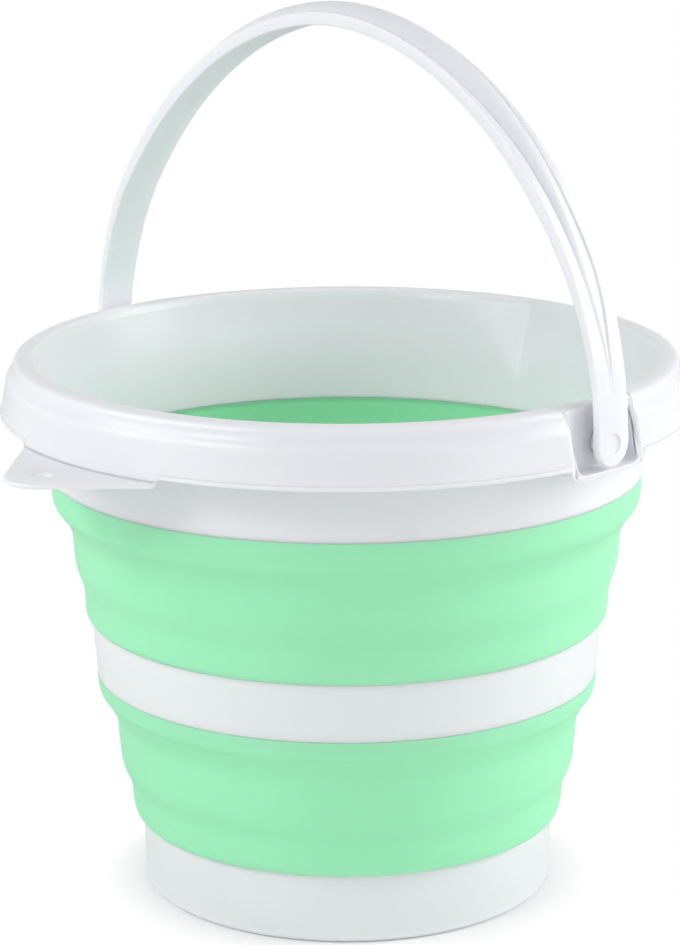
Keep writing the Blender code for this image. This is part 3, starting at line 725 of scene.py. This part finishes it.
def front_line(lip, offset, low):
    """From the lip over the roll's top and down the outer side to a height, pocket included."""
    lip_round = min(LIP_ROUND, ROLL_START + 2 * LIP_ROUND - lip)
    top_start = lip + lip_round
    start_height = top_height(top_start)
    points = arc((top_start, start_height - lip_round), (lip_round, lip_round), 180, 90, LIP_STEPS)
    wall = math.hypot(POCKET_WALL, offset)
    cut = pocket_cut(offset)
    inset = side_inset(offset)
    if cut >= top_height(wall) - WELD:
        edge = max(UNCUT_EDGE, top_start + UNCUT_WIDTH / 2)
        across = [edge + UNCUT_WIDTH * i / UNCUT_STEPS for i in range(UNCUT_STEPS + 1)]
        after = [(radius, top_height(radius)) for radius in across]
    else:
        wall_top = (wall, top_height(wall))
        wall_foot = (wall, cut)
        ledge = (max(side_radius(cut) - inset, wall + UNCUT_WIDTH), cut)
        below = (side_radius(cut - POCKET_EDGE) - inset, cut - 2 * POCKET_EDGE)
        first = corner((top_start, start_height), wall_top, wall_foot, POCKET_EDGE_ROUND)
        second = corner(wall_top, wall_foot, ledge, POCKET_EDGE_ROUND)
        third = corner(wall_foot, ledge, below, POCKET_EDGE_ROUND)
        edge = first[0][0]
        after = first + straight(first[-1], second[0], POCKET_WALL_STEPS)
        after += second + straight(second[-1], third[0], POCKET_WALL_STEPS) + third
    on_top = [top_start + (edge - top_start) * i / TOP_STEPS for i in range(1, TOP_STEPS)]
    points += [(radius, top_height(radius)) for radius in on_top] + after
    start = points[-1]
    face = [start]
    face += [(radius - inset, height) for radius, height in SIDE_LINE
             if low + WELD < height < start[1] - UNCUT_WIDTH / 4]
    face.append((side_radius(low) - inset, low))
    return points + spread(face, FACE_STEPS)[1:]


def tab_reach(azimuth):
    """How far the tab's outline lies from the axis at an azimuth counted from the tab's middle."""
    half = TAB_WIDTH / 2
    tip = SKIRT_RADIUS + TAB_REACH - TAB_TIP_RADIUS
    base = (math.sqrt(SKIRT_RADIUS ** 2 - half ** 2), half)
    to_tip = (tip - base[0], -half)
    lean = math.asin(TAB_TIP_RADIUS / math.hypot(*to_tip))
    side = math.atan2(to_tip[1], to_tip[0]) + lean
    normal = side + math.pi / 2
    touch = (tip + TAB_TIP_RADIUS * math.cos(normal), TAB_TIP_RADIUS * math.sin(normal))
    angle = abs(azimuth)
    if angle >= math.atan2(base[1], base[0]):
        return SKIRT_RADIUS
    if angle <= math.atan2(touch[1], touch[0]):
        return tip * math.cos(angle) + math.sqrt(TAB_TIP_RADIUS ** 2 - (tip * math.sin(angle)) ** 2)
    run = (touch[0] - base[0], touch[1] - base[1])
    across = base[0] * run[1] - base[1] * run[0]
    return across / (math.cos(angle) * run[1] - math.sin(angle) * run[0])


def lower_edge(azimuth, offset):
    """The lower edge at an azimuth: how far out it goes, and the heights of its upper and lower sides."""
    from_tab = math.remainder(azimuth - TAB_AZIMUTH, math.tau)
    root = math.asin(TAB_WIDTH / 2 / SKIRT_RADIUS)
    in_tab = 1.0 - ease(root - TAB_STEP / SKIRT_RADIUS, root + TAB_STEP / 2 / SKIRT_RADIUS, abs(from_tab))
    tab_top = SKIRT_BOTTOM - TAB_DROP
    side = max(0.0, offset - (BOX_HALF - POCKET_ROUND))
    bottom = SKIRT_BOTTOM
    if side < POCKET_ROUND:
        bottom = min(bottom, POCKET_BOTTOM + POCKET_ROUND - math.sqrt(POCKET_ROUND ** 2 - side ** 2))
    bottom += (tab_top - TAB_THICKNESS - bottom) * in_tab
    in_box = 1.0 - ease(BOX_HALF - 2 * POCKET_EDGE, BOX_HALF, offset)
    thick = SKIRT_WALL + (TAB_THICKNESS - SKIRT_WALL) * in_tab - (SKIRT_WALL - POCKET_FLOOR / 2) * in_box
    reach = max(SKIRT_RADIUS, tab_reach(from_tab))
    return reach, bottom + thick, bottom, in_tab


def edge_line(reach, high, low, in_tab):
    """Round the lower edge, from the outer side to the skirt's inner side. The tab is a wider edge."""
    face = side_radius(high)
    inner = SKIRT_RADIUS - SKIRT_WALL
    thick = high - low
    above = (face, high + thick)
    root = (face, high)
    upper = (reach, high)
    lower = (reach, low)
    end = (inner, low)
    first = corner(above, root, upper, SKIRT_CREASE + TAB_ROOT_ROUND * in_tab)
    round_size = thick / 2
    if reach - face < thick:
        round_size = min(round_size, max(reach - face, UNCUT_WIDTH / 2) * 2)
    second = corner(root, upper, lower, round_size, EDGE_ROUND_STEPS)
    third = corner(upper, lower, end, thick / 2, EDGE_ROUND_STEPS)
    points = first[1:] + straight(first[-1], second[0], TAB_TOP_STEPS) + second
    return points + third[1:] + straight(third[-1], end, TAB_BACK_STEPS) + [end]


def back_line(low, collar, plate, in_box):
    """From the skirt's foot up inside it and along the roll's underside, or round a pocket's box."""
    under = CREST - ROLL_WALL
    foot = (SKIRT_RADIUS - SKIRT_WALL, low)
    plain = [foot]
    plain += [(radius - ROLL_WALL, height - ROLL_WALL) for radius, height in reversed(SIDE_LINE)
              if height - ROLL_WALL > low + ROLL_WALL]
    plain.append((collar, under))
    boxed = [foot, (plate, low), (plate, under), (collar, under)]
    return [mix(a, b, in_box) for a, b in zip(spread(plain, BACK_STEPS), spread(boxed, BACK_STEPS))]


def spout_radius(azimuth, height):
    """Radius of the spout's V at an azimuth and height. It is less than the mouth's where there is no V."""
    from_spout = math.remainder(azimuth - SPOUT_AZIMUTH, math.tau)
    if abs(from_spout) > SPOUT_LIMIT:
        return 0.0
    low_height = CREST - SPOUT_DEPTH
    high_height = CREST - SPOUT_TOP_DEPTH
    low = mouth_inside(low_height)
    rise = (MOUTH_RADIUS + SPOUT_REACH - low) / (high_height - low_height)
    edge = math.sqrt(MOUTH_RADIUS ** 2 - (SPOUT_WIDTH / 2) ** 2)
    spread_out = (MOUTH_RADIUS + SPOUT_REACH - edge) / (SPOUT_WIDTH / 2)
    across = math.hypot(math.sin(from_spout), SPOUT_VALLEY_SHARE) - SPOUT_VALLEY_SHARE
    return (low + rise * (height - low_height)) / (math.cos(from_spout) + spread_out * across)


def rim_line(azimuth, offset):
    """The rim's closed outline at an azimuth. offset is the distance from the nearest pocket's middle."""
    lip_height = CREST - LIP_ROUND
    lip = MOUTH_RADIUS
    in_spout = spout_radius(azimuth, lip_height)
    if in_spout > 0.0:
        lip = soft_max(lip, in_spout, SPOUT_SOFTNESS)
    reach, edge_high, edge_low, in_tab = lower_edge(azimuth, offset)
    in_box = 1.0 - ease(BOX_HALF - POCKET_EDGE / 2, BOX_HALF, offset)
    plate = math.hypot(POCKET_WALL - POCKET_PLATE, min(offset, BOX_HALF))

    def back_of_collar(height):
        """Radius of the collar's outer face, which follows the spout but stays inside the roll."""
        radius = mouth_inside(height) + COLLAR_WALL
        behind_spout = spout_radius(azimuth, height) + SPOUT_WALL
        return max(radius, min(behind_spout, side_radius(height) - SPOUT_WALL / 2))

    front = front_line(lip, offset, edge_high)
    start_height = front[0][1]
    line = front + edge_line(reach, edge_high, edge_low, in_tab)
    under = CREST - ROLL_WALL
    back = back_line(edge_low, back_of_collar(under), plate, in_box)
    line += [(max(radius, back_of_collar(height) + SPOUT_SLIT), height) for radius, height in back[1:]]
    for row in range(1, COLLAR_ROWS + 1):
        height = under + (COLLAR_BOTTOM - under) * row / COLLAR_ROWS
        line.append((back_of_collar(height), height))
    tongue = COLLAR_RADIUS - TONGUE_INSET
    inside_low = COLLAR_BOTTOM + WRAP_RISE + SEAT_GAP
    line += [(tongue, COLLAR_BOTTOM), (tongue, COLLAR_BOTTOM - TONGUE_END),
             (tongue - TONGUE_EDGE, COLLAR_BOTTOM - TONGUE_END), (tongue - TONGUE_EDGE, inside_low)]
    for row in range(INSIDE_ROWS):
        height = inside_low + (start_height - inside_low) * row / INSIDE_ROWS
        radius = mouth_inside(height)
        in_spout = spout_radius(azimuth, height)
        if in_spout > 0.0:
            radius = soft_max(radius, in_spout, SPOUT_SOFTNESS)
        line.append((radius, height))
    return line


def rim_columns():
    """The azimuths at which the rim's outline is set, closer together where its shape changes."""
    offsets = [POCKET_HALF * share for share in POCKET_FLOOR_SHARES]
    offsets += [POCKET_HALF - POCKET_ROUND * (1 - math.sin(turn)) for turn in POCKET_ROUND_TURNS]
    offsets += [POCKET_HALF - WELD, POCKET_HALF + WELD]
    offsets += [POCKET_HALF + POCKET_SIDE_ROUND * (1 - math.cos(turn)) for turn in POCKET_SIDE_TURNS]
    offsets += [POCKET_HALF + POCKET_CORNER * (1 - math.cos(turn)) for turn in POCKET_CORNER_TURNS]
    offsets += [BOX_HALF - POCKET_EDGE / 2, BOX_HALF - POCKET_EDGE / 4, BOX_HALF, BOX_HALF + POCKET_EDGE]
    offsets += [BOX_HALF - POCKET_ROUND * (1 - math.sin(turn)) for turn in POCKET_ROUND_TURNS]
    pocket = [math.asin(offset / SKIRT_RADIUS) for offset in offsets]
    clear = max(pocket) + POCKET_CLEAR_TURN
    plain = [PLAIN_TURN * i for i in range(round(math.tau / PLAIN_TURN))]
    azimuths = [azimuth for azimuth in plain if abs(math.remainder(azimuth, math.pi)) > clear]
    for middle in (0.0, math.pi):
        azimuths += [middle + angle for angle in pocket] + [middle - angle for angle in pocket[1:]]
    azimuths += [SPOUT_AZIMUTH + SPOUT_TURN * i for i in range(-SPOUT_COLUMNS, SPOUT_COLUMNS + 1)]
    azimuths += [TAB_AZIMUTH + TAB_TURN * i for i in range(-TAB_COLUMNS, TAB_COLUMNS + 1)]
    root = math.asin(TAB_WIDTH / 2 / SKIRT_RADIUS)
    for side in (-1, 1):
        azimuths += [TAB_AZIMUTH + side * (root + TAB_ROOT_TURN * i)
                     for i in range(-TAB_ROOT_COLUMNS, TAB_ROOT_COLUMNS)]
    result = []
    for azimuth in sorted(a % math.tau for a in azimuths):
        if not result or azimuth - result[-1] > WELD / SKIRT_RADIUS:
            result.append(azimuth)
    return result


def rim_point(azimuth, radius, height):
    """A point of the rim. Near a pocket, a column stays in one plane square to the pocket's wall."""
    from_pocket = math.remainder(azimuth, math.pi)
    across = SKIRT_RADIUS * math.sin(from_pocket)
    near = 1.0 - ease(BOX_HALF + POCKET_BLEND_START, BOX_HALF + POCKET_BLEND_END, abs(across))
    near *= ease(MOUTH_RADIUS + LIP_ROUND, ROLL_START + POCKET_EDGE, radius)
    if near > 0.0 and abs(across) < radius:
        azimuth += (math.asin(across / radius) - from_pocket) * near
    return (radius * math.cos(azimuth), radius * math.sin(azimuth), height)


def tab_hole_cutter():
    """A round cutter with eased ends for the hole in the tab."""
    middle = SKIRT_BOTTOM - TAB_DROP - TAB_THICKNESS / 2
    half = TAB_THICKNESS / 2
    wide = TAB_HOLE_RADIUS + TAB_HOLE_EASE
    far = half + TAB_THICKNESS
    upper = arc((wide, half - TAB_HOLE_EASE), (TAB_HOLE_EASE, TAB_HOLE_EASE), 90, 180, TAB_HOLE_STEPS)
    line = [(0.0, far), (wide, far)] + upper
    line += [(radius, -height) for radius, height in reversed(upper)] + [(wide, -far), (0.0, -far)]
    cutter = turned("tab_hole", line, None, columns=HOLE_COLUMNS)
    reach = SKIRT_RADIUS + TAB_REACH - TAB_TIP_RADIUS
    place = Matrix.Translation((reach * math.cos(TAB_AZIMUTH), reach * math.sin(TAB_AZIMUTH), middle))
    return laid(cutter, place)


def rim_moulding(finish):
    """Collar, mouth, roll, skirt, pockets, spout and tab as one closed shell."""
    columns = []
    for azimuth in rim_columns():
        offset = abs(SKIRT_RADIUS * math.sin(math.remainder(azimuth, math.pi)))
        if math.cos(math.remainder(azimuth, math.pi)) <= 0.0:
            offset = SKIRT_RADIUS
        columns.append([rim_point(azimuth, radius, height) for radius, height in rim_line(azimuth, offset)])
    rows = len(columns[0])
    points = [point for column in columns for point in column]
    faces = []
    for i in range(len(columns)):
        after = (i + 1) % len(columns)
        for j in range(rows):
            k = (j + 1) % rows
            faces.append((i * rows + j, after * rows + j, after * rows + k, i * rows + k))
    mesh = bpy.data.meshes.new("rim_moulding")
    mesh.from_pydata(points, [], faces)
    mesh.materials.append(finish)
    shell = tidy_shell(add_object("rim_shell", mesh), SHELL_SHARP)
    return tidy_shell(cut_with(shell, [tab_hole_cutter()], "rim_moulding"), SHELL_SHARP)


# Bail handle

def arch_place(angle):
    """A point of the handle's outer line, across and up from the pivots."""
    power = 2 / HANDLE_ARCH_POWER
    return Vector((math.copysign(HANDLE_HALF_SPAN * abs(math.cos(angle)) ** power, math.cos(angle)),
                   HANDLE_HEIGHT * abs(math.sin(angle)) ** power))


def handle_section(height, half):
    """Half of the section at a height over the pivots, and its thickness.

    A point is its distance from the middle and its height over the inside.
    """
    share = max(0.0, height) / HANDLE_HEIGHT
    side_share, crown_share, width_share, depth_share = read_smooth(HANDLE_SHARES, share)
    side = HANDLE_SIDE * side_share
    crown = HANDLE_CROWN * max(0.0, crown_share)
    depth = HANDLE_GROOVE_DEPTH * max(0.0, depth_share)
    bulge = half * width_share
    width = min(HANDLE_GROOVE_WIDTH, bulge / 2, (half - bulge) / 4)
    points = []
    for i in range(HANDLE_CROWN_POINTS):
        out = math.sin(math.pi / 2 * i / (HANDLE_CROWN_POINTS - 1))
        up = max(0.0, 1.0 - out * out) ** HANDLE_CROWN_POWER
        points.append((bulge * out, side - depth + (crown + depth) * up))
    points.append((bulge + width / 2, side - depth * HANDLE_GROOVE_FLOOR_SHARE))
    ledge = (bulge + width, side)
    upper = (half, side)
    lower = (half, 0.0)
    points.append(ledge)
    points += corner(ledge, upper, lower, HANDLE_EDGE)
    points += corner(upper, lower, (0.0, 0.0), HANDLE_INNER_EDGE)
    return points, side + crown


def handle_stations():
    """Places along the handle: a point of the outer line, the way out, and half the width there."""
    stations = []
    for i in range(EAR_STATIONS, 0, -1):
        down = EAR_TURN * i / EAR_STATIONS
        place = Vector((HANDLE_HALF_SPAN, -EAR_RADIUS * math.sin(down)))
        stations.append((place, Vector((1.0, 0.0)), EAR_RADIUS * math.cos(down)))
    for i in range(HANDLE_STATIONS // 2 + 1):
        angle = math.pi * i / HANDLE_STATIONS
        place = arch_place(angle)
        along = arch_place(angle + HANDLE_NUDGE) - arch_place(max(0.0, angle - HANDLE_NUDGE))
        widening = ease(0.0, HANDLE_TAPER_SHARE, place.y / HANDLE_HEIGHT)
        leg = HANDLE_LEG_WIDTH + (HANDLE_WIDTH - HANDLE_LEG_WIDTH) * widening
        half = leg / 2 + (EAR_RADIUS - leg / 2) * (1.0 - ease(0.0, 2 * EAR_RADIUS, place.y))
        stations.append((place, Vector((along.y, -along.x)).normalized(), half))
    mirrored = [(Vector((-place.x, place.y)), Vector((-out.x, out.y)), half)
                for place, out, half in reversed(stations[:-1])]
    return stations + mirrored


def ear_tools():
    """For each ear, the cutter of its dimple and the boss and stud behind it."""
    dimples, studs = [], []
    outer = HANDLE_HALF_SPAN
    wall = POCKET_WALL + SEAT_GAP
    stud_end = POCKET_WALL - POCKET_PLATE - STUD_END
    for name, turn in (("near", 0.0), ("far", math.pi)):
        place = (Matrix.Rotation(turn, 4, "Z") @ Matrix.Translation((0.0, 0.0, PIVOT_HEIGHT))
                 @ Matrix.Rotation(math.pi / 2, 4, "Y"))
        floor = outer - DIMPLE_DEPTH
        line = [(0.0, floor)]
        line += arc((DIMPLE_RADIUS - DIMPLE_EASE, outer), (DIMPLE_EASE, DIMPLE_DEPTH), -90, 0, DIMPLE_STEPS)
        line += [(DIMPLE_RADIUS, outer + DIMPLE_DEPTH), (0.0, outer + DIMPLE_DEPTH)]
        dimples.append(laid(turned("dimple_" + name, line, None, columns=STUD_COLUMNS), place))
        inner = outer - HANDLE_SIDE / 2
        line = [(0.0, inner), (BOSS_RADIUS, inner), (BOSS_RADIUS, wall), (STUD_RADIUS, wall)]
        line += corner((STUD_RADIUS, wall), (STUD_RADIUS, stud_end), (0.0, stud_end), STUD_CHAMFER)
        line.append((0.0, stud_end))
        studs.append(laid(turned("stud_" + name, line, None, columns=STUD_COLUMNS), place))
    return dimples, studs


def bail_handle(finish):
    """The handle in one moulding: flat legs, a crowned grip between two grooves, and round ears."""
    shape = bmesh.new()
    rings = []
    for place, out, half in handle_stations():
        points, thickness = handle_section(place.y, half)
        full = points + [(-width, height) for width, height in reversed(points[1:])]
        ring = []
        for width, height in full:
            spot = place + out * (height - thickness)
            ring.append(shape.verts.new((spot.x, width, spot.y + PIVOT_HEIGHT)))
        rings.append(ring)
    count = len(rings[0])
    for first, second in zip(rings, rings[1:]):
        for i in range(count):
            j = (i + 1) % count
            shape.faces.new((first[i], first[j], second[j], second[i]))
    shape.faces.new(rings[0])
    shape.faces.new(rings[-1])
    mesh = bpy.data.meshes.new("bail")
    shape.to_mesh(mesh)
    shape.free()
    mesh.materials.append(finish)
    band = tidy_shell(add_object("bail_band", mesh), SHELL_SHARP)
    dimples, studs = ear_tools()
    for stud in studs:
        step = band.modifiers.new("join", "BOOLEAN")
        step.operation = "UNION"
        step.solver = "EXACT"
        step.object = stud
    bail = tidy_shell(cut_with(band, dimples, "bail"), SHELL_SHARP)
    for stud in studs:
        bpy.data.objects.remove(stud)
    return bail


# Studio

def add_camera():
    """The camera at the photograph's viewing angle."""
    data = bpy.data.cameras.new("camera")
    data.lens = CAMERA_LENS
    data.sensor_width = SENSOR_WIDTH
    data.sensor_fit = "AUTO"
    data.clip_start = VIEW_START
    data.clip_end = VIEW_END
    camera = add_object("camera", data)
    place = Matrix.Translation((CAMERA_DISTANCE * math.sin(CAMERA_AZIMUTH),
                                -CAMERA_DISTANCE * math.cos(CAMERA_AZIMUTH), CAMERA_HEIGHT))
    heading = Matrix.Rotation(CAMERA_AZIMUTH + CAMERA_YAW, 4, "Z")
    tilt = Matrix.Rotation(math.pi / 2 - CAMERA_PITCH, 4, "X")
    camera.matrix_world = place @ heading @ tilt @ Matrix.Rotation(CAMERA_ROLL, 4, "Z")
    bpy.context.scene.camera = camera


def add_softbox(name, right, toward, height, size, power):
    """A wide soft lamp that faces the bucket."""
    data = bpy.data.lights.new(name, "AREA")
    data.shape = "RECTANGLE"
    data.size = size[0]
    data.size_y = size[1]
    data.energy = power
    lamp = add_object(name, data)
    turn = Matrix.Rotation(CAMERA_AZIMUTH, 3, "Z")
    spot = turn @ Vector((right, -toward, 0.0)) + Vector((0.0, 0.0, height))
    lamp.location = spot
    lamp.rotation_euler = (Vector(LAMP_AIM) - spot).to_track_quat("-Z", "Y").to_euler()


def add_studio():
    """The soft lamps, and a world that looks white and lights less from above than from the sides."""
    for name, right, toward, height, size, power in LAMPS:
        add_softbox(name, right, toward, height, size, power)
    world = bpy.data.worlds.new("studio")
    world.use_nodes = True
    tree = world.node_tree
    back = tree.nodes["Background"]
    fill(back, Color=(1.0, 1.0, 1.0, 1.0))
    way = add_node(tree, "ShaderNodeTexCoord")
    parts = add_node(tree, "ShaderNodeSeparateXYZ")
    rise = add_node(tree, "ShaderNodeMapRange", interpolation_type="SMOOTHSTEP")
    fill(rise, To_Min=HORIZON_LEVEL, To_Max=ZENITH_LEVEL)
    path = add_node(tree, "ShaderNodeLightPath")
    level = add_node(tree, "ShaderNodeMix", data_type="FLOAT")
    fill(level, B=1.0)
    wire(tree,
         (way, "Generated", parts, 0),
         (parts, "Z", rise, "Value"),
         (path, "Is Camera Ray", level, "Factor"),
         (rise, "Result", level, "A"),
         (level, "Result", back, "Strength"))
    bpy.context.scene.world = world


def add_floor():
    """A round pale floor that keeps the shadow and turns to plain white with distance."""
    mesh = bpy.data.meshes.new("studio_floor")
    shape = bmesh.new()
    bmesh.ops.create_circle(shape, cap_ends=True, radius=FLOOR_RADIUS, segments=FLOOR_COLUMNS)
    shape.to_mesh(mesh)
    shape.free()
    floor = add_object("studio_floor", mesh)
    material = bpy.data.materials.new("pale_floor")
    material.use_nodes = True
    tree = material.node_tree
    shader = tree.nodes["Principled BSDF"]
    fill(shader, Base_Color=FLOOR_WHITE, Roughness=FLOOR_ROUGHNESS, Specular_IOR_Level=0.0)
    output = tree.nodes["Material Output"]
    glow = add_node(tree, "ShaderNodeEmission")
    place = add_node(tree, "ShaderNodeTexCoord")
    length = add_node(tree, "ShaderNodeVectorMath", operation="LENGTH")
    fade = add_node(tree, "ShaderNodeMapRange", interpolation_type="SMOOTHSTEP")
    fill(fade, From_Min=BASE_RADIUS - FLOOR_CLEAR, From_Max=BASE_RADIUS + FLOOR_FADE)
    path = add_node(tree, "ShaderNodeLightPath")
    seen = add_node(tree, "ShaderNodeMath", operation="MULTIPLY")
    blend = add_node(tree, "ShaderNodeMixShader")
    wire(tree,
         (place, "Object", length, 0),
         (length, "Value", fade, "Value"),
         (fade, "Result", seen, 0),
         (path, "Is Camera Ray", seen, 1),
         (seen, 0, blend, "Fac"),
         (shader, 0, blend, 1),
         (glow, 0, blend, 2),
         (blend, 0, output, "Surface"))
    mesh.materials.append(material)


# The scene

TURNING_TREE = turning_tree()
MOULDED_GROUP = moulded_group()
white_plastic = moulded_finish("white_plastic_finish", PLASTIC_WHITE, PLASTIC_SHADE, PLASTIC_GLOSS,
                               PLASTIC_GRAIN, PLASTIC_INNER_LIGHT)
mint_rubber = moulded_finish("mint_rubber_finish", RUBBER_MINT, RUBBER_SHADE, RUBBER_GLOSS,
                             RUBBER_GRAIN, RUBBER_INNER_LIGHT)

cup = base_cup(white_plastic)
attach(cup, "base")
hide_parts("base_cup")

ring = middle_ring(white_plastic)
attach(ring, "mid")
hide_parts("middle_ring")

lower_band = fold_band("lower_band", LOWER_LINE_SHARES, BASE_TOP, RING_BOTTOM,
                       BASE_RADIUS, RING_BOTTOM_RADIUS, (BASE_RADIUS, CUP_WALL, CUP_TONGUE_END),
                       (RING_BOTTOM_RADIUS - TONGUE_INSET, RING_TONGUE_LOW, 0.0), mint_rubber)
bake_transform(lower_band)
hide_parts("lower_band_heel", "lower_band_wall", "lower_band_shoulder")

upper_band = fold_band("upper_band", UPPER_LINE_SHARES, RING_TOP, COLLAR_BOTTOM,
                       RING_TOP_RADIUS, COLLAR_RADIUS,
                       (RING_TOP_RADIUS - HIGH_TONGUE_INSET, HIGH_TONGUE_WALL, RING_TONGUE_HIGH),
                       (COLLAR_RADIUS - TONGUE_INSET, COLLAR_BOTTOM - TONGUE_END,
                        COLLAR_BOTTOM + WRAP_RISE), mint_rubber)
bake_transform(upper_band)
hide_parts("upper_band_heel", "upper_band_wall", "upper_band_shoulder")

rim = rim_moulding(white_plastic)
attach(rim, "top")
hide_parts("rim")

bail = bail_handle(white_plastic)
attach(bail, "bail")
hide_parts("handle")

add_floor()
add_studio()
add_camera()
bpy.context.scene.view_settings.view_transform = "Standard"
